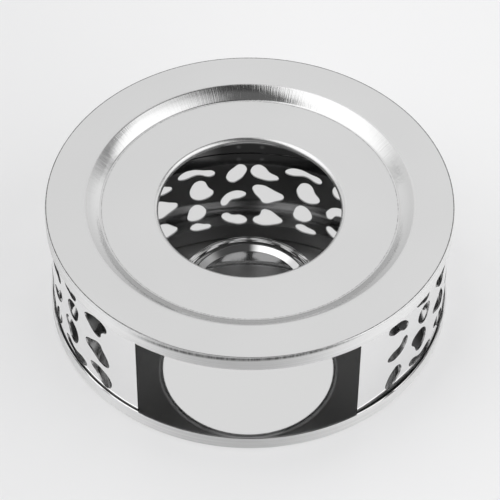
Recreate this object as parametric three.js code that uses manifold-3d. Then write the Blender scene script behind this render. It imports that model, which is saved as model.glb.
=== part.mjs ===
// Teapot warmer: a stamped seat plate over a shallow tray, joined by a punched and rolled steel band.
// Millimetres, +Z up. The origin is on the table under the middle, and the tea light's window faces -Y.
import * as THREE from 'three';
import { mergeVertices } from 'three/addons/utils/BufferGeometryUtils.js';
import loadManifold from 'manifold-3d';

// Overall size
const outerDiameter = 130;
const overallHeight = 45.2;

// Sheet and fits
const plateSheet = 0.5;
const bandSheet = 0.5;
const traySheet = 0.5;
const bandFit = 0.4; // between the band and the skirt or rim around it
const edgeGap = 0.3; // above and below the band's edges

// Seat plate; every bend radius is that of the middle of the sheet
const skirtHeight = 5.8;
const skirtBend = 0.55;
const seatDiameter = 95.4; // the sunk seat, up to the foot of its step
const seatDepth = 3.2;
const stepWidth = 4.5;
const stepBend = 2.2;
const ventDiameter = 58.4;
const lipBend = 1.75;
const lipStraight = 0.1; // below the lip's bend

// Tray, with the bead that centres the tea light
const rimHeight = 5.3;
const rimBend = 0.75;
const candleSeatDiameter = 35.4;
const beadHeight = 0.9;
const beadInnerSlope = 2.4;
const beadCrest = 2.6;
const beadOuterSlope = 1.2;
const beadBend = 0.6;

// Band
const windowWidth = 69; // straight across, from one end of the strip to the other
const motifCount = 8;
const plainEnd = 10.3; // without cut-outs, beside the window
const plainEdge = 0.8; // without cut-outs, next to the skirt and the rim

// Smoothness of the facets
const turnSegments = 60;
const bendChords = 2;
const pebbleSides = 11;

// One motif of the punched pattern: ten pebbles in three columns, along the strip and up from its foot
const motifLength = 38.6;
const motifHeight = 32.5;
const pebbles = [
  [[1, 29.4], [2.8, 31.1], [6.2, 30.6], [9.2, 28.6], [10.2, 26], [8.8, 24.7], [6.2, 26], [3.2, 26.3]],
  [[9.4, 21.2], [10.5, 19.4], [9.6, 16.4], [7, 14], [3, 13.7], [1.4, 15.4], [3.2, 17.4], [6.6, 18.4]],
  [[6.2, 9.3], [8.2, 7.6], [8.2, 4.8], [5.8, 1.6], [3.4, 0], [1.4, 1.6], [2.2, 5.8], [4.2, 8.3]],
  [[14.2, 31.4], [15.9, 32.2], [21.6, 30.8], [21.7, 29.3], [20.1, 28.1], [16.9, 29], [14.4, 30]],
  [[20, 26.8], [22.5, 25.4], [22.5, 22], [21, 18.8], [19.4, 18.3], [16.6, 20.4], [15.9, 23.6], [17.6, 26.2]],
  [[16, 16.3], [19.6, 15.8], [21.7, 12.4], [21.2, 8.8], [19.2, 6.4], [16.8, 6.7], [15, 10.2], [13.1, 13.6]],
  [[13.2, 4.9], [18.9, 3.3], [24.3, 4], [26.1, 2.9], [24.7, 0.7], [21.1, 0], [17.1, 1.1], [12.7, 2.9]],
  [[26.7, 28.4], [28.6, 30.4], [36.6, 30.7], [37.3, 28], [35, 26], [34.1, 23.4], [32.7, 23], [28.4, 26]],
  [[33.6, 20], [35, 17.9], [37.3, 14.2], [37.5, 11.4], [35.4, 10.4], [29.8, 13], [26.4, 15.8], [30, 19]],
  [[28.4, 6.7], [30.6, 8.1], [35, 7.6], [37.8, 5.6], [38.3, 2.6], [36, 0.2], [33.8, 1], [31.8, 3.7]],
];

const outerRadius = outerDiameter / 2;
const wasm = await loadManifold();
wasm.setup();

function corner(radius, height, bend = 0) {
  return { point: new THREE.Vector2(radius, height), bend };
}

// The middle of a bent sheet, seen in section: straight runs, with an arc in place of each corner
function bentLine(corners) {
  const line = [corners[0].point];
  for (let i = 1; i < corners.length - 1; i += 1) {
    const { point, bend } = corners[i];
    const arriving = point.clone().sub(corners[i - 1].point).normalize();
    const leaving = corners[i + 1].point.clone().sub(point).normalize();
    const turn = Math.atan2(arriving.cross(leaving), arriving.dot(leaving));
    const setback = bend * Math.tan(Math.abs(turn) / 2);
    const start = point.clone().addScaledVector(arriving, -setback);
    const inward = new THREE.Vector2(-arriving.y, arriving.x).multiplyScalar(Math.sign(turn));
    const centre = start.clone().addScaledVector(inward, bend);
    for (let k = 0; k <= bendChords; k += 1) {
      line.push(start.clone().rotateAround(centre, (turn * k) / bendChords));
    }
  }
  line.push(corners.at(-1).point);
  return line;
}

// The line moved sideways by a distance, to its left where that is positive
function offsetLine(line, distance) {
  return line.map((point, i) => {
    const before = line[Math.max(i - 1, 0)];
    const after = line[Math.min(i + 1, line.length - 1)];
    const arriving = i > 0 ? point.clone().sub(before) : after.clone().sub(point);
    const leaving = i < line.length - 1 ? after.clone().sub(point) : arriving.clone();
    const first = new THREE.Vector2(-arriving.y, arriving.x).normalize();
    const second = new THREE.Vector2(-leaving.y, leaving.x).normalize();
    const mitre = first.clone().add(second).divideScalar(1 + first.dot(second));
    return point.clone().addScaledVector(mitre, distance);
  });
}

// A sheet-metal piece turned about Z, from the corners of its section
function turnedSheet(corners, sheet) {
  const line = bentLine(corners);
  const outline = [...offsetLine(line, -sheet / 2), ...offsetLine(line, sheet / 2).reverse()];
  const startsOnAxis = line[0].x === 0;
  if (!startsOnAxis) outline.push(outline[0].clone());
  return new THREE.LatheGeometry(outline, turnSegments).rotateX(Math.PI / 2);
}

// Measured from the upper face of the plate's flat edge, which lies at its local zero
function seatPlateGeometry() {
  const middle = -plateSheet / 2;
  const seat = middle - seatDepth;
  const lipRadius = (ventDiameter + plateSheet) / 2;
  const skirtRadius = outerRadius - plateSheet / 2;
  const stepFoot = seatDiameter / 2;
  return turnedSheet([
    corner(lipRadius, seat - lipBend - lipStraight),
    corner(lipRadius, seat, lipBend),
    corner(stepFoot, seat, stepBend),
    corner(stepFoot + stepWidth, middle, stepBend),
    corner(skirtRadius, middle, skirtBend),
    corner(skirtRadius, -skirtHeight),
  ], plateSheet);
}

function trayGeometry() {
  const floor = traySheet / 2;
  const rimRadius = outerRadius - traySheet / 2;
  const innerFoot = candleSeatDiameter / 2;
  const innerCrest = innerFoot + beadInnerSlope;
  const outerCrest = innerCrest + beadCrest;
  return turnedSheet([
    corner(0, floor),
    corner(innerFoot, floor, beadBend),
    corner(innerCrest, floor + beadHeight, beadBend),
    corner(outerCrest, floor + beadHeight, beadBend),
    corner(outerCrest + beadOuterSlope, floor, beadBend),
    corner(rimRadius, floor, rimBend),
    corner(rimRadius, rimHeight),
  ], traySheet);
}

// How far a bend's inner curve stands off the flat, at the band's distance from the upright wall
function bendRise(bend, sheet) {
  const inside = bend - sheet / 2;
  const reach = Math.max(inside - bandFit, 0);
  return inside - Math.sqrt(inside ** 2 - reach ** 2);
}

const bandOuterRadius = outerRadius - Math.max(plateSheet, traySheet) - bandFit;
const bandMiddleRadius = bandOuterRadius - bandSheet / 2;
const bandFoot = traySheet + bendRise(rimBend, traySheet) + edgeGap;
const bandHead = overallHeight - plateSheet - bendRise(skirtBend, plateSheet) - edgeGap;
const halfWindow = Math.asin(windowWidth / 2 / bandOuterRadius);
const stripStart = halfWindow - Math.PI / 2;
const stripAngle = 2 * (Math.PI - halfWindow);

// The strip before it is punched, rolled to stand open at the window
function plainBand() {
  const stripEnd = stripStart + stripAngle;
  const section = new THREE.Shape()
    .absarc(0, 0, bandOuterRadius, stripStart, stripEnd, false)
    .absarc(0, 0, bandOuterRadius - bandSheet, stripEnd, stripStart, true);
  section.closePath();
  const curveSegments = Math.round((turnSegments * stripAngle) / (2 * Math.PI));
  return new THREE.ExtrudeGeometry(section, {
    depth: bandHead - bandFoot, curveSegments, bevelEnabled: false,
  });
}

// One punch, standing across the band's wall: its outline is centred on its own middle
function pebblePunch(outline, middle, stretch, angle, height) {
  const corners = outline.map(([along, up]) => new THREE.Vector3(
    (along - middle.x) * stretch.x, (up - middle.y) * stretch.y, 0,
  ));
  const rim = new THREE.CatmullRomCurve3(corners, true).getPoints(pebbleSides).slice(1);
  const depth = 4 * bandSheet;
  const punch = new THREE.ExtrudeGeometry(new THREE.Shape(rim), { depth, bevelEnabled: false });
  const along = new THREE.Vector3(-Math.sin(angle), Math.cos(angle), 0);
  const outward = new THREE.Vector3(Math.cos(angle), Math.sin(angle), 0);
  const place = new THREE.Matrix4().makeBasis(along, new THREE.Vector3(0, 0, 1), outward);
  place.setPosition(outward.multiplyScalar(bandMiddleRadius - depth / 2).setZ(height));
  return punch.applyMatrix4(place);
}

// Every pebble of every motif, spread over the strip between its plain ends and edges
function pebblePunches() {
  const patternStart = stripStart + plainEnd / bandMiddleRadius;
  const motifAngle = (stripAngle - (2 * plainEnd) / bandMiddleRadius) / motifCount;
  const patternFoot = rimHeight + plainEdge - bandFoot;
  const patternHeight = overallHeight - skirtHeight - rimHeight - 2 * plainEdge;
  const stretch = new THREE.Vector2(
    (motifAngle * bandMiddleRadius) / motifLength, patternHeight / motifHeight,
  );
  const punches = [];
  for (let motif = 0; motif < motifCount; motif += 1) {
    for (const outline of pebbles) {
      const bounds = new THREE.Box2().setFromPoints(outline.map((at) => new THREE.Vector2(...at)));
      const middle = bounds.getCenter(new THREE.Vector2());
      const angle = patternStart + (motif + middle.x / motifLength) * motifAngle;
      punches.push(pebblePunch(outline, middle, stretch, angle, patternFoot + middle.y * stretch.y));
    }
  }
  return punches;
}

function toSolid(geometry) {
  const bare = geometry.clone();
  bare.deleteAttribute('normal');
  bare.deleteAttribute('uv');
  const merged = mergeVertices(bare);
  return new wasm.Manifold(new wasm.Mesh({
    numProp: 3,
    vertProperties: merged.getAttribute('position').array,
    triVerts: merged.getIndex().array,
  }));
}

function toGeometry(solid) {
  const { vertProperties, triVerts } = solid.getMesh();
  const geometry = new THREE.BufferGeometry();
  geometry.setAttribute('position', new THREE.BufferAttribute(vertProperties, 3));
  geometry.setIndex(new THREE.BufferAttribute(triVerts, 1));
  return geometry.toNonIndexed();
}

function bandGeometry() {
  const punched = pebblePunches().reduce(
    (band, punch) => band.subtract(toSolid(punch)), toSolid(plainBand()),
  );
  return toGeometry(punched);
}

const satinSteel = { color: 0xd6d6d4, roughness: 0.38, metalness: 1 };
const mirrorSteel = { color: 0xe2e2e2, roughness: 0.06, metalness: 1 };

function piece(name, geometry, finish, height) {
  geometry.computeVertexNormals();
  const mesh = new THREE.Mesh(geometry, new THREE.MeshStandardMaterial(finish));
  mesh.name = name;
  mesh.position.z = height;
  return mesh;
}

const warmer = new THREE.Group();
warmer.name = 'teapot_warmer';
warmer.add(
  piece('top_plate', seatPlateGeometry(), satinSteel, overallHeight),
  piece('side_band', bandGeometry(), mirrorSteel, bandFoot),
  piece('base_tray', trayGeometry(), mirrorSteel, 0),
);

export default warmer;
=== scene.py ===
import math

import bmesh
import bpy
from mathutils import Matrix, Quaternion, Vector


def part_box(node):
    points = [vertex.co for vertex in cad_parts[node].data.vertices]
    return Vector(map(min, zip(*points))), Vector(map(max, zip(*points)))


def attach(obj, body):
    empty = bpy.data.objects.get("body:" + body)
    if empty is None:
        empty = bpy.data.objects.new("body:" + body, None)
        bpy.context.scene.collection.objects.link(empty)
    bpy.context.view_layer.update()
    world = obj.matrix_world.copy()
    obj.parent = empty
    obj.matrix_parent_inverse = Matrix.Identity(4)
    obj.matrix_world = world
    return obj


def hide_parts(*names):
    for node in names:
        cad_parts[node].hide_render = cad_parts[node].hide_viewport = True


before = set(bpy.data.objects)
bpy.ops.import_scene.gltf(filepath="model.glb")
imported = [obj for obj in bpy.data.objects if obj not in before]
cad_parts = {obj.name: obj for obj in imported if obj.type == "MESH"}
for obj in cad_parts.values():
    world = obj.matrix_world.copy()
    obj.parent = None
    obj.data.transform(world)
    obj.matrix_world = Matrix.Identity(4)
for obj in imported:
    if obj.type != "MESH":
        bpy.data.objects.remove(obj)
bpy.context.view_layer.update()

mm = 0.001
mergeDistance = 0.002 * mm
ringTolerance = 0.01 * mm
facing = 0.5  # a face looks out, in or down when its normal's share that way is larger
plateLow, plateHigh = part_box("top_plate")
bandLow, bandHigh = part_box("side_band")
trayLow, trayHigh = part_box("base_tray")
outerRadius = plateHigh.x
scene = bpy.context.scene
scene.view_settings.view_transform = "Standard"


# selections and shader nodes
def deselectAll():
    if bpy.context.mode != "OBJECT":
        bpy.ops.object.mode_set(mode="OBJECT")
    bpy.ops.object.select_all(action="DESELECT")


def addNode(tree, kind, **values):
    node = tree.nodes.new(kind)
    for name, value in values.items():
        setattr(node, name, value)
    return node


def setInputs(node, values):
    for name, value in values.items():
        node.inputs[name].default_value = value


def feed(tree, value, socket):
    if isinstance(value, (int, float)):
        socket.default_value = value
    else:
        tree.links.new(value, socket)


def mathNode(tree, operation, first, second=None):
    node = addNode(tree, "ShaderNodeMath", operation=operation)
    feed(tree, first, node.inputs[0])
    if second is not None:
        feed(tree, second, node.inputs[1])
    return node.outputs[0]


def addNodes(tree, first, *others):
    for other in others:
        first = mathNode(tree, "ADD", first, other)
    return first


def timesNodes(tree, first, *others):
    for other in others:
        first = mathNode(tree, "MULTIPLY", first, other)
    return first


def restNode(tree, share):
    return mathNode(tree, "SUBTRACT", 1, share)


def centreNode(tree, noise):
    return mathNode(tree, "SUBTRACT", noise, 0.5)  # noise lies around a half


def rangeNode(tree, value, fromLow, fromHigh, toLow=0.0, toHigh=1.0, smooth=True):
    node = addNode(tree, "ShaderNodeMapRange", clamp=True)
    node.interpolation_type = "SMOOTHSTEP" if smooth else "LINEAR"
    tree.links.new(value, node.inputs[0])
    for socket, number in zip(node.inputs[1:5], (fromLow, fromHigh, toLow, toHigh)):
        socket.default_value = number
    return node.outputs[0]


def splitNode(tree, vector):
    node = addNode(tree, "ShaderNodeSeparateXYZ")
    tree.links.new(vector, node.inputs[0])
    return node.outputs


def vectorNode(tree, operation, vector, other):
    node = addNode(tree, "ShaderNodeVectorMath", operation=operation)
    node.inputs[1].default_value = other
    tree.links.new(vector, node.inputs[0])
    return node.outputs["Value"]


def noiseNode(tree, vector, values):
    node = addNode(tree, "ShaderNodeTexNoise")
    setInputs(node, values)
    tree.links.new(vector, node.inputs["Vector"])
    return node.outputs["Fac"]


# camera
cameraSettings = {
    "place": (0.0, -0.5097, 0.5911),
    "aim": (0.0002, 0.0, 0.02085),
    "lens": 169.6,
    "roll": 0.6,  # degrees
}


def makeCamera(settings):
    bpy.ops.object.camera_add(location=settings["place"])
    camera = bpy.context.object
    camera.data.lens = settings["lens"]
    looking = Vector(settings["aim"]) - Vector(settings["place"])
    roll = Quaternion((0, 0, 1), math.radians(settings["roll"]))
    camera.rotation_mode = "QUATERNION"
    camera.rotation_quaternion = looking.to_track_quat("-Z", "Y") @ roll
    scene.camera = camera


# studio: a pale tent with an opening in front, two light boxes and a plain floor
left, right, near, up, down = (-1, 0, 0), (1, 0, 0), (0, -1, 0), (0, 0, 1), (0, 0, -1)
openingEdge, openingLeft = (0.870, -0.159, -0.874), (0.765, -0.631, 0.132)
leftBoxEnd, leftBoxTop, rightBoxEnd = (0.25, -1.0, 0.0), (-0.3125, -1.0, 0.0), (0.33, -1.0, 0.0)
worldSettings = {
    "walls": (0.70, 1.21),  # straight behind, and at both sides
    "wallSpread": (0.05, 0.90),  # how far to the side the one goes over into the other
    "wallTurn": 0.10,  # the right wall is lighter than the left one
    # a patch is a level and its masks; a mask is a direction, where it starts and where it is full
    "farPatches": (
        (1.0, (up, 0.35, 0.65)),  # the roof
        (1.2, (right, 0.3, 0.6), (near, -0.5, -0.3), (down, -0.38, -0.30)),  # a low reflector
        # a dark strip along the far edge of the floor, left of the middle
        (0.25, (left, 0.36, 0.42), (left, 0.56, 0.50), (near, -0.7, -0.8), (down, -0.08, -0.05)),
    ),
    "room": (0.18, 0.08),  # the dark room behind the opening, and overhead
    "roomTop": (0.88, 0.97),
    "roomFront": (0.32, (near, 0.68, 0.78)),  # the room is lighter low in front
    "opening": (
        (openingEdge, -1.007, -0.877), (openingLeft, -0.14, -0.06), (near, -0.33, -0.21), (up, -0.05, 0.1),
    ),
    "lowRight": ((right, 0.5, 0.7), (down, -0.42, -0.36)),  # where the reflector covers the opening
    "nearPatches": (
        (0.30, (left, 0.3, 0.5), (near, 0.2, 0.4), (down, -0.13, -0.06)),  # under the left box
        (0.40, (right, 0.25, 0.40), (near, -0.55, -0.40), (up, 0.30, 0.42)),  # the right box's frame
        # the right box, which grows lighter evenly to the side and not in a smooth step
        (1.75, (right, 0.2, 0.6, False), (rightBoxEnd, -0.10, 0.08), (up, 0.36, 0.44)),
        (0.40, (left, 0.62, 0.72), (near, -0.46, -0.43), (up, 0.30, 0.40)),  # the left box's frame
    ),
    "leftBox": (1.25, 1.75),  # from its far end to its near end
    "leftBoxTurn": (-0.53, -0.25),
    "leftBoxMasks": (
        (openingEdge, -0.877, -1.007), (leftBoxEnd, -0.60, -0.57), (leftBoxTop, -0.22, -0.155),
        (up, 0.36, 0.42),
    ),
}


def makeWorld(settings):
    world = bpy.data.worlds.new("studioTent")
    scene.world = world
    world.use_nodes = True
    tree = world.node_tree
    background = tree.nodes["Background"]
    background.inputs["Color"].default_value = (1, 1, 1, 1)
    direction = addNode(tree, "ShaderNodeTexCoord").outputs["Generated"]

    def along(way):
        return vectorNode(tree, "DOT_PRODUCT", direction, way)

    def towards(way, start, full, smooth=True):
        return rangeNode(tree, along(way), start, full, smooth=smooth)

    def mix(level, other, masks, *shares):
        change = mathNode(tree, "SUBTRACT", other, level)
        change = timesNodes(tree, change, *(towards(*mask) for mask in masks), *shares)
        return addNodes(tree, level, change)

    aside = mathNode(tree, "ABSOLUTE", along(right))
    walls = rangeNode(tree, aside, *settings["wallSpread"], *settings["walls"])
    level = addNodes(tree, walls, timesNodes(tree, along(right), settings["wallTurn"]))
    for other, *masks in settings["farPatches"]:
        level = mix(level, other, masks)
    room = rangeNode(tree, along(up), *settings["roomTop"], *settings["room"])
    roomFront, *masks = settings["roomFront"]
    room = mix(room, roomFront, masks)
    lowRight = timesNodes(tree, *(towards(*mask) for mask in settings["lowRight"]))
    level = mix(level, room, settings["opening"], restNode(tree, lowRight))
    for other, *masks in settings["nearPatches"]:
        level = mix(level, other, masks)
    leftBox = rangeNode(tree, along(leftBoxEnd), *settings["leftBoxTurn"], *settings["leftBox"])
    level = mix(level, leftBox, settings["leftBoxMasks"])
    tree.links.new(level, background.inputs["Strength"])


floorSettings = {
    "size": 6.0,
    "drop": 0.02 * mm,
    "colour": (0.50, 0.50, 0.505, 1),
    "roughness": 0.6,
    "gloss": 0.2,
    "glow": (0.22, 0.40),  # far out on the left, and on the right
    "turn": (-0.3, 0.02),
}


def makeFloor(settings):
    deselectAll()
    bpy.ops.mesh.primitive_plane_add(size=settings["size"], location=(0, 0, -settings["drop"]))
    floor = bpy.context.object
    floor.name = "floor"
    material = bpy.data.materials.new("paleFloor")
    material.use_nodes = True
    tree = material.node_tree
    shader = tree.nodes["Principled BSDF"]
    setInputs(shader, {
        "Base Color": settings["colour"], "Roughness": settings["roughness"],
        "Specular IOR Level": settings["gloss"], "Emission Color": (1, 1, 1, 1),
    })
    # lighter on the right, where the reflector stands
    place = addNode(tree, "ShaderNodeTexCoord").outputs["Object"]
    across = splitNode(tree, place)["X"]
    glow = rangeNode(tree, across, *settings["turn"], *settings["glow"], smooth=False)
    tree.links.new(glow, shader.inputs["Emission Strength"])
    floor.data.materials.append(material)


makeCamera(cameraSettings)
makeWorld(worldSettings)
makeFloor(floorSettings)
print("stage ready")


# finishes
def makeGroup(name, inputs, outputs):
    group = bpy.data.node_groups.new(name, "ShaderNodeTree")
    for title, kind in inputs:
        group.interface.new_socket(title, in_out="INPUT", socket_type=kind)
    for title, kind in outputs:
        group.interface.new_socket(title, in_out="OUTPUT", socket_type=kind)
    return group, addNode(group, "NodeGroupInput"), addNode(group, "NodeGroupOutput")


roundSettings = {
    "leastRadius": 0.1 * mm,
    "turnScale": 1.2,    # how often the marks that run around change along their way
    "reachScale": 60.0,  # per metre, out from the axis and up
    "noise": {"Scale": 1.0, "Detail": 3.0, "Roughness": 0.6},
}


def makeRoundGroup(settings):
    # draws marks that run out from the axis, and marks that run around it
    group, start, end = makeGroup(
        "roundMarks",
        (("Vector", "NodeSocketVector"), ("Fineness", "NodeSocketFloat")),
        (("Outward", "NodeSocketFloat"), ("Around", "NodeSocketFloat"), ("Radius", "NodeSocketFloat")),
    )
    x, y, z = splitNode(group, start.outputs["Vector"])
    square = addNodes(group, timesNodes(group, x, x), timesNodes(group, y, y))
    radius = mathNode(group, "MAXIMUM", mathNode(group, "SQRT", square), settings["leastRadius"])
    unitX, unitY = (mathNode(group, "DIVIDE", part, radius) for part in (x, y))
    reach = addNodes(group, radius, z)

    def marks(turnScale, reachScale):
        turned = addNode(group, "ShaderNodeCombineXYZ")
        scales = ((unitX, turnScale), (unitY, turnScale), (reach, reachScale))
        for socket, (value, scale) in zip(turned.inputs, scales):
            group.links.new(timesNodes(group, value, scale), socket)
        return noiseNode(group, turned.outputs[0], settings["noise"])

    fineness = start.outputs["Fineness"]
    outward = marks(fineness, settings["reachScale"])
    around = marks(settings["turnScale"], timesNodes(group, fineness, settings["reachScale"]))
    group.links.new(outward, end.inputs["Outward"])
    group.links.new(around, end.inputs["Around"])
    group.links.new(radius, end.inputs["Radius"])
    return group


# painted shade on the front of the plate's edge and skirt
frontShadeSettings = {
    "side": (-0.017, -1.0, 0.0),  # where they are strongest
    "reach": (53.5 * mm, 61.5 * mm),
    "level": (-0.02, 0.0, 1.0),   # they slant a little
    "height": (43.3 * mm, 44.1 * mm),
    "top": (44.5 * mm, 45.0 * mm),
    "topShare": 0.35,
    "loss": 0.8,
    "marks": (0.35, 0.65),
    "between": 0.6,  # share of the loss that is left between the marks
}


def makeFrontShadeGroup(settings):
    # paints shade on the front of the plate's edge, most at the foot of its bevel, broken into marks
    group, start, end = makeGroup(
        "paintedFrontShade",
        (("Vector", "NodeSocketVector"), ("Tone", "NodeSocketFloat"), ("Marks", "NodeSocketFloat")),
        (("Tone", "NodeSocketFloat"),),
    )
    place = start.outputs["Vector"]
    side, level = (vectorNode(group, "DOT_PRODUCT", place, settings[name]) for name in ("side", "level"))
    front = rangeNode(group, side, *settings["reach"], 0, settings["loss"])
    height = rangeNode(group, level, *settings["height"], smooth=False)
    top = rangeNode(group, level, *settings["top"], 1, settings["topShare"])
    broken = rangeNode(group, start.outputs["Marks"], *settings["marks"], settings["between"], 1)
    kept = restNode(group, timesNodes(group, front, height, top, broken))
    group.links.new(timesNodes(group, start.outputs["Tone"], kept), end.inputs["Tone"])
    return group


roundMarks = makeRoundGroup(roundSettings)
paintedFrontShade = makeFrontShadeGroup(frontShadeSettings)
bumpSettings = {"Strength": 0.35, "Distance": 0.05 * mm}


def startSteel(name, settings):
    material = bpy.data.materials.new(name)
    material.use_nodes = True
    tree = material.node_tree
    shader = tree.nodes["Principled BSDF"]
    colour = settings["colour"]
    setInputs(shader, {
        "Base Color": (colour, colour, colour, 1), "Metallic": 1.0, "Roughness": settings["roughness"],
    })
    place = addNode(tree, "ShaderNodeTexCoord").outputs["Object"]
    marks = addNode(tree, "ShaderNodeGroup", node_tree=roundMarks)
    marks.inputs["Fineness"].default_value = settings["fineness"]
    tree.links.new(place, marks.inputs["Vector"])
    return material, tree, shader, place, marks.outputs


def linkTone(tree, tone, shader):
    shade = addNode(tree, "ShaderNodeCombineColor")
    for socket in shade.inputs:
        tree.links.new(tone, socket)
    tree.links.new(shade.outputs[0], shader.inputs["Base Color"])


# painted shade: darkens the given tone at the front
def frontShadeTone(tree, place, marks, tone):
    shadeGroup = addNode(tree, "ShaderNodeGroup", node_tree=paintedFrontShade)
    tree.links.new(place, shadeGroup.inputs["Vector"])
    tree.links.new(marks["Outward"], shadeGroup.inputs["Marks"])
    feed(tree, tone, shadeGroup.inputs["Tone"])
    return shadeGroup.outputs["Tone"]


def linkBump(tree, height, shader):
    bump = addNode(tree, "ShaderNodeBump")
    setInputs(bump, bumpSettings)
    tree.links.new(height, bump.inputs["Height"])
    tree.links.new(bump.outputs["Normal"], shader.inputs["Normal"])


satinSettings = {
    "colour": 0.67,
    # the steep step's tone is painted darker: painted shade
    "steepShadeColour": 0.58,
    "roughness": 0.30,
    "steepRoughness": 0.10,
    "leastRoughness": 0.02,
    "steep": (0.90, 0.985),  # the normal's upward share, from where the step is steep to where it is flat
    "fineness": 150.0,
    "drawMarks": 2.0,
    "drawGloss": 0.35,
    "grain": {"Scale": 1400.0, "Detail": 2.0, "Roughness": 0.6},
    "grainDepth": 0.12,
    "patches": {"Scale": 30.0, "Detail": 1.0},
    "unevenTone": 0.06,
    "turn": (-65 * mm, 65 * mm),  # from left to right, over which the tone is painted lighter: painted light
    "paintedSideLight": (0.985, 1.03),
    # lines of painted shade beside the bends, broken into marks: radius, half width, share of the tone
    # lost, share left at the front and share left between the marks
    "paintedCreaseShade": ((64.62 * mm, 0.24 * mm, 0.92, 0.1, 0.7), (47.15 * mm, 0.18 * mm, 0.55, 1.0, 0.15)),
    "creaseCore": 0.3,  # share of the half width
    "creaseMarks": (0.42, 0.56),
    "creaseFront": (-62 * mm, -54 * mm),
}


def makeSatin(settings):
    material, tree, shader, place, marks = startSteel("satinSteel", settings)
    normal = addNode(tree, "ShaderNodeNewGeometry").outputs["Normal"]
    steep = rangeNode(tree, splitNode(tree, normal)["Z"], *settings["steep"], 1, 0)
    draw = timesNodes(tree, centreNode(tree, marks["Outward"]), steep)
    roughnesses = settings["roughness"], settings["steepRoughness"]
    roughness = rangeNode(tree, steep, 0, 1, *roughnesses, smooth=False)
    roughness = addNodes(tree, roughness, timesNodes(tree, draw, settings["drawGloss"]))
    roughness = mathNode(tree, "MAXIMUM", roughness, settings["leastRoughness"])
    tree.links.new(roughness, shader.inputs["Roughness"])
    grain = centreNode(tree, noiseNode(tree, place, settings["grain"]))
    grain = timesNodes(tree, grain, settings["grainDepth"])
    linkBump(tree, addNodes(tree, timesNodes(tree, draw, settings["drawMarks"]), grain), shader)
    parts = splitNode(tree, place)
    # painted shade: the steep step gets a darker tone
    tones = settings["colour"], settings["steepShadeColour"]
    tone = rangeNode(tree, steep, 0, 1, *tones, smooth=False)
    uneven = centreNode(tree, noiseNode(tree, place, settings["patches"]))
    uneven = addNodes(tree, timesNodes(tree, uneven, settings["unevenTone"]), 1)
    # painted light: the tone grows lighter towards the right
    turn = rangeNode(tree, parts["X"], *settings["turn"], *settings["paintedSideLight"], smooth=False)
    tone = timesNodes(tree, tone, uneven, turn)
    # painted shade along the bends, broken into marks
    for radius, halfWidth, loss, front, between in settings["paintedCreaseShade"]:
        away = mathNode(tree, "ABSOLUTE", mathNode(tree, "SUBTRACT", marks["Radius"], radius))
        line = rangeNode(tree, away, settings["creaseCore"] * halfWidth, halfWidth, loss, 0)
        broken = rangeNode(tree, marks["Outward"], *settings["creaseMarks"], between, 1)
        kept = rangeNode(tree, parts["Y"], *settings["creaseFront"], front, 1)
        tone = timesNodes(tree, tone, restNode(tree, timesNodes(tree, line, broken, kept)))
    linkTone(tree, tone, shader)
    return material


brushedSettings = {
    "colour": 0.88,
    "roughness": 0.58,
    "fineness": 110.0,
    "lines": 0.8,
    "grain": 0.9,
    "grainTurn": 0.25,  # of a full turn
    "paintedShadeSide": (-15.1, 3.1, 0.0),  # per metre, 1 at the outside; the tone is painted darker towards the left: painted shade
    "paintedShadeRange": (0.5, 0.9),
    "paintedShadeTone": 0.70,
    "streaks": 0.14,
    "streakMarks": (0.35, 0.65),
}
rimSettings = brushedSettings | {"colour": 0.82, "paintedShadeTone": 0.62, "grain": 0.8}


def makeBrushed(name, settings):
    material, tree, shader, place, marks = startSteel(name, settings)
    # painted shade: the tone grows darker towards the left side
    side = vectorNode(tree, "DOT_PRODUCT", place, settings["paintedShadeSide"])
    tones = settings["colour"], settings["paintedShadeTone"]
    tone = rangeNode(tree, side, *settings["paintedShadeRange"], *tones, smooth=False)
    streaks = rangeNode(tree, marks["Around"], *settings["streakMarks"], 1 - settings["streaks"], 1)
    linkTone(tree, frontShadeTone(tree, place, marks, timesNodes(tree, tone, streaks)), shader)
    linkBump(tree, timesNodes(tree, centreNode(tree, marks["Around"]), settings["lines"]), shader)
    tangent = addNode(tree, "ShaderNodeTangent", direction_type="RADIAL", axis="Z")
    tree.links.new(tangent.outputs[0], shader.inputs["Tangent"])
    setInputs(shader, {"Anisotropic": settings["grain"], "Anisotropic Rotation": settings["grainTurn"]})
    return material


polishBase = {"fineness": 90.0, "leastRoughness": 0.015}
polishSettings = polishBase | {
    "colour": 0.88,
    "roughness": 0.06,
    "marks": 0.04,
    "paintedFootShade": 0.20,
    "footHeight": (5.0 * mm, 5.3 * mm),  # painted shade on the band's foot behind the rim
    "welds": (),
}
insideSettings = polishBase | {
    "colour": 0.60,
    "roughness": 0.08,
    "marks": 0.04,
    "paintedFootShade": 0.15,
    "footHeight": (5.2 * mm, 6.4 * mm),  # painted shade low on the band's inside, where it stands in the tray
    "welds": (-23.7, -16.3, 86.3, 93.7, 196.3, 203.7),  # degrees, in pairs; spots where the band is welded to the rim, painted lighter: painted reflection
    "weldDepth": 0.5 * mm,  # in from the band's outside
    "weldHeight": 3.6 * mm,
    "weldReach": (0.1 * mm, 1.2 * mm),
    "weldPaintedLight": 0.26,
}
mirrorSettings = polishBase | {"colour": 0.68, "roughness": 0.03, "marks": 0.02}
undersideSettings = polishBase | {"colour": 0.36, "roughness": 0.30, "marks": 0.06}
pressedSettings = polishBase | {"colour": 0.52, "roughness": 0.13, "marks": 0.06}
cutSettings = polishBase | {"colour": 0.40, "roughness": 0.20, "marks": 0.06}
lipSettings = polishBase | {"colour": 0.33, "roughness": 0.20, "marks": 0.06}
edgeSettings = {"colour": 0.85, "roughness": 0.08, "fineness": 60.0}


def makePolished(name, settings):
    material, tree, shader, place, marks = startSteel(name, settings)
    change = timesNodes(tree, centreNode(tree, marks["Around"]), 2 * settings["marks"])
    roughness = addNodes(tree, change, settings["roughness"])
    roughness = mathNode(tree, "MAXIMUM", roughness, settings["leastRoughness"])
    tree.links.new(roughness, shader.inputs["Roughness"])
    return material


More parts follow.
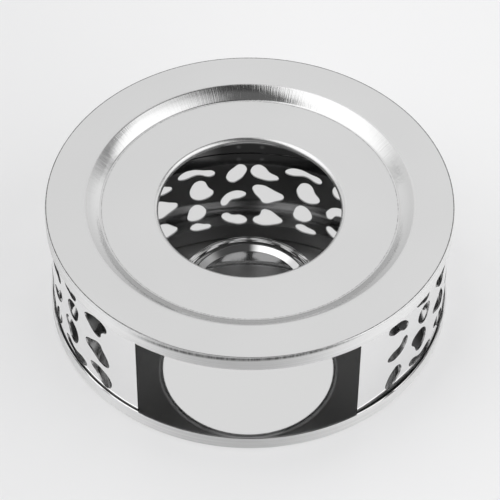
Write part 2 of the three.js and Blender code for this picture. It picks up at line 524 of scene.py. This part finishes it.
def makeFooted(name, settings):
    material = makePolished(name, settings)
    tree = material.node_tree
    place = addNode(tree, "ShaderNodeTexCoord").outputs["Object"]
    # painted shade on the band's foot, where it meets the rim
    tones = settings["paintedFootShade"], settings["colour"]
    tone = rangeNode(tree, splitNode(tree, place)["Z"], *settings["footHeight"], *tones)
    # painted reflection: lighter spots at the welds
    for degrees in settings["welds"]:
        angle, radius = math.radians(degrees), bandHigh.x - settings["weldDepth"]
        weld = (radius * math.cos(angle), radius * math.sin(angle), settings["weldHeight"])
        away = vectorNode(tree, "DISTANCE", place, weld)
        tone = addNodes(tree, tone, rangeNode(tree, away, *settings["weldReach"], settings["weldPaintedLight"], 0))
    linkTone(tree, tone, tree.nodes["Principled BSDF"])
    return material


def makeEdge(settings):
    material, tree, shader, place, marks = startSteel("edgeSteel", settings)
    linkTone(tree, frontShadeTone(tree, place, marks, settings["colour"]), shader)
    return material


satin = makeSatin(satinSettings)
brushed = makeBrushed("brushedSteel", brushedSettings)
rimFinish = makeBrushed("rimSteel", rimSettings)
polished = makeFooted("polishedSteel", polishSettings)
mirror = makePolished("mirrorSteel", mirrorSettings)
underside = makePolished("undersideSteel", undersideSettings)
pressed = makePolished("pressedSteel", pressedSettings)
inside = makeFooted("insideSteel", insideSettings)
cut = makePolished("cutSteel", cutSettings)
lip = makePolished("lipSteel", lipSettings)
edge = makeEdge(edgeSettings)
print("finishes ready")


# pieces turned from bent sheet; each row of a profile is a radius, a height and the bend there
def startSection(name, first):
    deselectAll()
    bpy.ops.mesh.primitive_plane_add(size=mm)
    piece = bpy.context.object
    piece.name = piece.data.name = name
    bpy.ops.object.mode_set(mode="EDIT")
    bpy.ops.mesh.select_mode(type="VERT")
    bpy.ops.mesh.select_all(action="SELECT")
    bpy.ops.mesh.merge(type="CENTER")
    bpy.ops.transform.translate(value=(first[0], 0, first[1]))
    return piece


def extrudeSection(profile):
    for before, after in zip(profile, profile[1:]):
        step = (after[0] - before[0], 0, after[1] - before[1])
        bpy.ops.mesh.extrude_region_move(TRANSFORM_OT_translate={"value": step})


def mergeAndTurnOut():
    bpy.ops.mesh.select_all(action="SELECT")
    bpy.ops.mesh.remove_doubles(threshold=mergeDistance)
    bpy.ops.mesh.normals_make_consistent(inside=False)


def spinSection(steps):
    bpy.ops.mesh.select_all(action="SELECT")
    bpy.ops.mesh.spin(steps=steps, angle=2 * math.pi, center=(0, 0, 0), axis=(0, 0, 1))
    mergeAndTurnOut()


def selectRing(piece, radius, height):
    bpy.ops.mesh.select_mode(type="EDGE")
    bpy.ops.mesh.select_all(action="DESELECT")
    mesh = bmesh.from_edit_mesh(piece.data)
    for line in mesh.edges:
        onRing = [
            abs(Vector(vertex.co[:2]).length - radius) < ringTolerance
            and abs(vertex.co.z - height) < ringTolerance
            for vertex in line.verts
        ]
        line.select_set(all(onRing))
    mesh.select_flush(False)
    bmesh.update_edit_mesh(piece.data)


def bendRings(piece, profile, segments):
    points = [Vector(row[:2]) for row in profile]
    for i, (radius, height, bend) in enumerate(profile):
        if not bend:
            continue
        turn = (points[i] - points[i - 1]).angle(points[i + 1] - points[i])
        selectRing(piece, radius, height)
        bpy.ops.mesh.bevel(
            offset=bend * math.tan(turn / 2), offset_type="OFFSET", segments=segments,
            profile=0.5, affect="EDGES", clamp_overlap=False,  # a round bend
        )


def faceOutwards(piece, test):
    mesh = bmesh.from_edit_mesh(piece.data)
    mesh.faces.ensure_lookup_table()
    if not test(max(mesh.faces, key=lambda face: face.calc_area())):
        bpy.ops.mesh.select_all(action="SELECT")
        bpy.ops.mesh.flip_normals()


def applyModifier(piece, kind, **values):
    modifier = piece.modifiers.new(kind.lower(), kind)
    for name, value in values.items():
        setattr(modifier, name, value)
    bpy.context.view_layer.objects.active = piece
    bpy.ops.object.modifier_apply(modifier=modifier.name)


def assignFinish(piece, finish, test):
    deselectAll()
    piece.select_set(True)
    bpy.context.view_layer.objects.active = piece
    bpy.ops.object.mode_set(mode="EDIT")
    bpy.ops.mesh.select_mode(type="FACE")
    bpy.ops.mesh.select_all(action="DESELECT")
    mesh = bmesh.from_edit_mesh(piece.data)
    for face in mesh.faces:
        middle = face.calc_center_median()
        outward = Vector((middle.x, middle.y, 0)).normalized()
        face.select_set(test(middle, face.normal, face.normal.dot(outward)))
    bmesh.update_edit_mesh(piece.data)
    piece.active_material_index = piece.data.materials.find(finish.name)
    bpy.ops.object.material_slot_assign()
    bpy.ops.object.mode_set(mode="OBJECT")


sheetSettings = {
    "sheet": 0.5 * mm,
    "steps": 256,
    "edgeRounding": 0.1 * mm,
    "roundingSegments": 2,
    "roundingAngle": 50,  # degrees
    "smoothAngle": 40,    # degrees
    "normalWeight": 100,
}


def turnSheet(name, settings, profile, outward, finishes):
    # the first finish goes on the outside of the sheet and the second one on its inside
    piece = startSection(name, profile[0])
    for finish in finishes:
        piece.data.materials.append(finish)
    extrudeSection(profile)
    spinSection(settings["steps"])
    bendRings(piece, profile, settings["bendSegments"])
    faceOutwards(piece, outward)
    deselectAll()
    piece.select_set(True)
    applyModifier(
        piece, "SOLIDIFY", thickness=settings["sheet"], offset=-1, use_even_offset=True,
        material_offset=1, material_offset_rim=0,
    )
    applyModifier(
        piece, "BEVEL", width=settings["edgeRounding"], segments=settings["roundingSegments"],
        limit_method="ANGLE", angle_limit=math.radians(settings["roundingAngle"]),
    )
    bpy.ops.object.shade_smooth_by_angle(angle=math.radians(settings["smoothAngle"]))
    applyModifier(piece, "WEIGHTED_NORMAL", keep_sharp=True, weight=settings["normalWeight"])
    return piece


plateSettings = sheetSettings | {
    "seatDepth": 3.2 * mm,
    "seatRadius": 47.6 * mm,
    "stepFoot": (2.1 * mm, 1.8 * mm),  # the lower half of the step, out and up, is the steeper one
    "stepWidth": 4.6 * mm,
    "pressedRadius": 57 * mm,
    "footBend": 1.0 * mm,
    "stepBend": 12.0 * mm,
    "shoulderBend": 2.2 * mm,
    "ventRadius": 29.2 * mm,
    "lipDepth": 1.85 * mm,
    "lipBend": 1.7 * mm,
    "edgeBevel": (  # in from the outside, down from the top, bend
        (0.26 * mm, 0, 0.06 * mm), (0.13 * mm, 0.24 * mm, 0.8 * mm), (0, 0.70 * mm, 2.2 * mm),
    ),
    "bendSegments": 6,
    "skirtTurn": 0.95,  # faces that look further out than this are the skirt's,
    "skirtTilt": -0.2,  # if they look no further down than this
    "edgeTurn": 0.60,   # faces that look out by this much, but less than the skirt's, are the edge's
    "lipFinish": (0.6 * mm, 1.0 * mm),  # out from the hole's radius, down from the seat
}


def makePlate(settings):
    top, seat = plateHigh.z, plateHigh.z - settings["seatDepth"]
    ventRadius, seatRadius = settings["ventRadius"], settings["seatRadius"]
    pressedRadius = settings["pressedRadius"]
    footOut, footUp = settings["stepFoot"]
    profile = [
        (ventRadius, seat - settings["lipDepth"], 0),
        (ventRadius, seat, settings["lipBend"]),
        (seatRadius, seat, settings["footBend"]),
        (seatRadius + footOut, seat + footUp, settings["stepBend"]),
        (seatRadius + settings["stepWidth"], top, settings["shoulderBend"]),
        (pressedRadius, top, 0),
        *((outerRadius - inwards, top - drop, bend) for inwards, drop, bend in settings["edgeBevel"]),
        (outerRadius, plateLow.z, 0),
    ]
    finishes = (satin, underside, brushed, edge, lip, pressed)
    piece = turnSheet("seatPlate", settings, profile, lambda face: face.normal.z > 0, finishes)
    skirtTurn, edgeTurn, skirtTilt = (settings[name] for name in ("skirtTurn", "edgeTurn", "skirtTilt"))
    assignFinish(piece, brushed, lambda at, normal, out: out > skirtTurn and normal.z > skirtTilt)
    assignFinish(piece, edge, lambda at, normal, out: edgeTurn < out < skirtTurn and normal.z > 0)
    lipOut, lipDown = settings["lipFinish"]
    assignFinish(
        piece, lip, lambda at, normal, out: at.xy.length < ventRadius + lipOut and at.z < seat - lipDown,
    )
    # the press has burnished the underside of the step and of the ring beside it
    assignFinish(
        piece, pressed,
        lambda at, normal, out: normal.z < -facing and seatRadius < at.xy.length < pressedRadius,
    )
    return piece


traySettings = sheetSettings | {
    "seatRadius": 17.7 * mm,
    "beadInnerSlope": 2.5 * mm,
    "beadCrest": 2.2 * mm,
    "beadOuterSlope": 1.6 * mm,
    "beadHeight": 0.8 * mm,
    "footBend": 0.9 * mm,
    "innerBend": 0.7 * mm,
    "outerBend": 5.0 * mm,
    "rimBend": 1.0 * mm,
    "bendSegments": 5,
    "rimFoot": 1.0 * mm,  # the rim's inside is brushed from here up
}


def makeTray(settings):
    foot, crest = trayLow.z, trayLow.z + settings["beadHeight"]
    seatRadius = settings["seatRadius"]
    innerCrest = seatRadius + settings["beadInnerSlope"]
    outerCrest = innerCrest + settings["beadCrest"]
    profile = [
        (0, foot, 0),
        (seatRadius, foot, settings["footBend"]),
        (innerCrest, crest, settings["innerBend"]),
        (outerCrest, crest, settings["outerBend"]),
        (outerCrest + settings["beadOuterSlope"], foot, settings["footBend"]),
        (trayHigh.x, foot, settings["rimBend"]),
        (trayHigh.x, trayHigh.z, 0),
    ]
    finishes = (mirror, mirror, rimFinish)
    piece = turnSheet("candleTray", settings, profile, lambda face: face.normal.z < 0, finishes)
    rimFoot = settings["rimFoot"]
    assignFinish(
        piece, rimFinish, lambda at, normal, out: out > facing or (out < -facing and at.z > rimFoot),
    )
    return piece


plate = makePlate(plateSettings)
tray = makeTray(traySettings)
print("plate and tray turned", len(plate.data.polygons), len(tray.data.polygons))


# the punched band: a flat strip, punched and then rolled
bandSettings = {
    "sheet": 0.5 * mm,
    "window": 69 * mm,
    "plainEnd": 10.3 * mm,
    "plainEdge": 0.8 * mm,
    "motifs": 8,
    "motifLength": 38.6,
    "motifHeight": 32.5,
    "columns": 360,
    "pebbleSteps": 6,
    "punchDepth": 3.0 * mm,
    "flatAt": -45,  # degrees, where the strip is flattest, and how far the flat stretch reaches
    "flatReach": 22,
    "flatDepth": 0.5 * mm,
    "smoothAngle": 35,  # degrees
}
# one motif: the outlines of its ten pebbles, along the strip and up from its foot
pebbles = [
    ((1, 29.4), (2.8, 31.1), (6.2, 30.6), (9.2, 28.6), (10.2, 26), (8.8, 24.7), (6.2, 26), (3.2, 26.3)),
    ((9.4, 21.2), (10.5, 19.4), (9.6, 16.4), (7, 14), (3, 13.7), (1.4, 15.4), (3.2, 17.4), (6.6, 18.4)),
    ((6.2, 9.3), (8.2, 7.6), (8.2, 4.8), (5.8, 1.6), (3.4, 0), (1.4, 1.6), (2.2, 5.8), (4.2, 8.3)),
    ((14.2, 31.4), (15.9, 32.2), (21.6, 30.8), (21.7, 29.3), (20.1, 28.1), (16.9, 29), (14.4, 30)),
    (
        (20, 26.8), (22.5, 25.4), (22.5, 22), (21, 18.8), (19.4, 18.3), (16.6, 20.4), (15.9, 23.6),
        (17.6, 26.2),
    ),
    (
        (16, 16.3), (19.6, 15.8), (21.7, 12.4), (21.2, 8.8), (19.2, 6.4), (16.8, 6.7), (15, 10.2),
        (13.1, 13.6),
    ),
    ((13.2, 4.9), (18.9, 3.3), (24.3, 4), (26.1, 2.9), (24.7, 0.7), (21.1, 0), (17.1, 1.1), (12.7, 2.9)),
    ((26.7, 28.4), (28.6, 30.4), (36.6, 30.7), (37.3, 28), (35, 26), (34.1, 23.4), (32.7, 23), (28.4, 26)),
    ((33.6, 20), (35, 17.9), (37.3, 14.2), (37.5, 11.4), (35.4, 10.4), (29.8, 13), (26.4, 15.8), (30, 19)),
    ((28.4, 6.7), (30.6, 8.1), (35, 7.6), (37.8, 5.6), (38.3, 2.6), (36, 0.2), (33.8, 1), (31.8, 3.7)),
]


def makePunch(outline, depth, steps):
    deselectAll()
    bpy.ops.curve.primitive_bezier_circle_add()
    curve = bpy.context.object.data
    curve.splines.clear()
    spline = curve.splines.new("BEZIER")
    spline.bezier_points.add(len(outline) - 1)
    for point, (x, y) in zip(spline.bezier_points, outline):
        point.co = (x, y, 0)
        point.handle_left_type = point.handle_right_type = "AUTO"
    spline.use_cyclic_u = True
    curve.dimensions = "2D"
    curve.fill_mode = "BOTH"
    curve.resolution_u = steps
    curve.extrude = depth / 2
    bpy.ops.object.convert(target="MESH")
    bpy.ops.object.mode_set(mode="EDIT")
    mergeAndTurnOut()
    bpy.ops.object.mode_set(mode="OBJECT")
    return bpy.context.object


def joinPieces(pieces):
    deselectAll()
    for piece in pieces:
        piece.select_set(True)
    bpy.context.view_layer.objects.active = pieces[0]
    bpy.ops.object.join()
    return bpy.context.object


def makeStrip(length, height, settings):
    deselectAll()
    bpy.ops.mesh.primitive_grid_add(x_subdivisions=settings["columns"], y_subdivisions=1, size=1)
    strip = bpy.context.object
    strip.name = strip.data.name = "pebbleBand"
    strip.scale = (length, height, 1)
    bpy.ops.object.transform_apply(location=False, rotation=False, scale=True)
    bpy.ops.object.mode_set(mode="EDIT")
    bpy.ops.mesh.select_all(action="SELECT")
    bpy.ops.transform.translate(value=(0, 0, -settings["sheet"] / 2))
    bpy.ops.mesh.extrude_region_move(TRANSFORM_OT_translate={"value": (0, 0, settings["sheet"])})
    bpy.ops.mesh.select_all(action="SELECT")
    bpy.ops.mesh.normals_make_consistent(inside=False)
    bpy.ops.object.mode_set(mode="OBJECT")
    return strip


def punchStrip(strip, length, settings):
    # the outside of the flat strip faces up, and its right-hand end comes round to the window's left side
    plainEnd, plainEdge = settings["plainEnd"], settings["plainEdge"]
    pitch = (length - 2 * plainEnd) / settings["motifs"]
    foot = trayHigh.z + plainEdge - (bandLow.z + bandHigh.z) / 2
    tall = plateLow.z - trayHigh.z - 2 * plainEdge
    alongScale, upScale = pitch / settings["motifLength"], tall / settings["motifHeight"]
    punches = []
    for outline in pebbles:
        points = [(plainEnd - length / 2 + x * alongScale, foot + y * upScale) for x, y in outline]
        punches.append(makePunch(points, settings["punchDepth"], settings["pebbleSteps"]))
    punch = joinPieces(punches)
    applyModifier(
        punch, "ARRAY", count=settings["motifs"], use_relative_offset=False, use_constant_offset=True,
        constant_offset_displace=(pitch, 0, 0),
    )
    deselectAll()
    strip.select_set(True)
    applyModifier(strip, "BOOLEAN", operation="DIFFERENCE", solver="EXACT", object=punch)
    bpy.data.objects.remove(punch)


def flattenStretch(band, settings):
    # beside the window's right end the strip lies a little flatter than the rim
    flatAt, flatReach = math.radians(settings["flatAt"]), math.radians(settings["flatReach"])
    flatName = "flatStretch"  # kept as text, because applying a modifier renews the groups
    flat = band.vertex_groups.new(name=flatName)
    for vertex in band.data.vertices:
        away = abs(math.atan2(vertex.co.y, vertex.co.x) - flatAt) / flatReach
        if away < 1:
            flat.add([vertex.index], 0.5 + 0.5 * math.cos(math.pi * away), "REPLACE")
    for axis, share in (("X", math.cos(flatAt)), ("Y", math.sin(flatAt))):
        applyModifier(
            band, "DISPLACE", direction=axis, strength=-settings["flatDepth"] * share, mid_level=0,
            vertex_group=flatName,
        )
    band.vertex_groups.clear()


def makeBand(settings):
    radius = bandHigh.x - settings["sheet"] / 2
    halfWindow = math.asin(settings["window"] / 2 / bandHigh.x)
    angle = 2 * (math.pi - halfWindow)
    length = radius * angle
    band = makeStrip(length, bandHigh.z - bandLow.z, settings)
    punchStrip(band, length, settings)
    # stand the strip up with its outside to the back, then roll it round to the front
    bpy.context.view_layer.objects.active = band
    band.rotation_euler = (math.pi / 2, 0, math.pi)
    bpy.ops.object.transform_apply(location=False, rotation=True, scale=False)
    applyModifier(band, "SIMPLE_DEFORM", deform_method="BEND", deform_axis="Z", angle=-angle)
    band.location = (0, radius, (bandLow.z + bandHigh.z) / 2)
    bpy.ops.object.transform_apply(location=True, rotation=False, scale=False)
    flattenStretch(band, settings)
    bpy.ops.object.shade_smooth_by_angle(angle=math.radians(settings["smoothAngle"]))
    for finish in (polished, inside, cut):
        band.data.materials.append(finish)
    assignFinish(band, inside, lambda at, normal, out: out < -facing)
    assignFinish(band, cut, lambda at, normal, out: abs(out) < facing)
    return band


band = makeBand(bandSettings)
print("band punched and rolled", len(band.data.polygons))


# what each piece rides on and stands for
for piece, node, slot in (
    (plate, "top_plate", "satin_steel"),
    (band, "side_band", "band_steel"),
    (tray, "base_tray", "tray_steel"),
):
    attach(piece, "root")
    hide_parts(node)
print("pieces placed on the root body")
